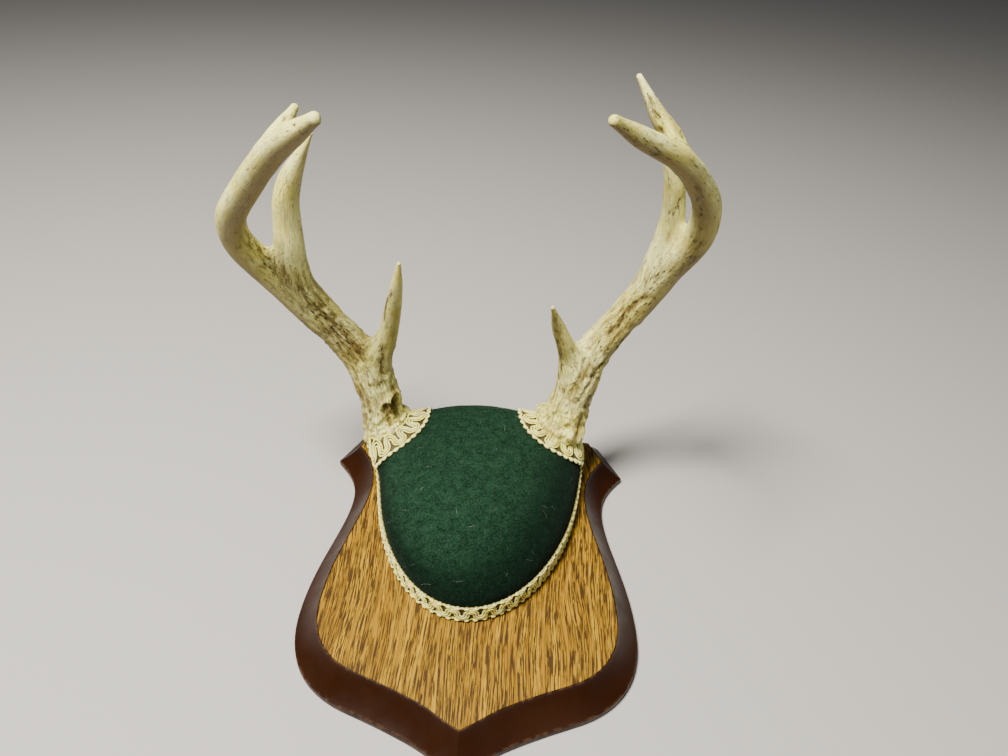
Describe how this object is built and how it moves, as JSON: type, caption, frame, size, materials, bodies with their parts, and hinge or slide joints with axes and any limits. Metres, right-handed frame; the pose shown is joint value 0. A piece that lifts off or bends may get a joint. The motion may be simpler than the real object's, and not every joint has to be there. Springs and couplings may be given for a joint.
{
  "type": "white-tailed deer antler mount on a shield plaque",
  "caption": "Pair of branched deer antlers on a felt-covered skull plate, trimmed with gimp braid and fixed to a bevelled oak shield plaque.",
  "frame": {"origin": "middle of the plaque's flat back, which is the face that goes against a wall", "axes": "+Z points away from the wall, out of the plaque's face; +Y points to the top of the plaque; +X is to the viewer's right of someone facing the plaque with +Y up"},
  "size_m": [0.2757, 0.26, 0.3019],
  "materials": {
    "rim_paint": "dark brown semi-gloss paint on wood",
    "oak": "golden oak with dark open grain under satin varnish",
    "green_felt": "matted dark green wool felt with a short fuzz",
    "gimp_braid": "ivory scroll gimp braid of twisted rayon cords",
    "antler": "dry cream bone stained brown in its grooves and pits"
  },
  "bodies": {
    "root": {"plaque_body": "rim_paint", "plaque_face": "oak", "felt_cover": "green_felt", "braid_foot": "gimp_braid", "braid_collar_left": "gimp_braid", "braid_collar_right": "gimp_braid", "left_burr": "antler", "left_beam_lower": "antler", "left_beam_upper": "antler", "left_beam_tip": "antler", "left_brow_tine": "antler", "left_second_tine": "antler", "left_third_tine": "antler", "right_burr": "antler", "right_beam_lower": "antler", "right_beam_upper": "antler", "right_beam_tip": "antler", "right_brow_tine": "antler", "right_second_tine": "antler", "right_third_tine": "antler"}
  },
  "joints": []
}
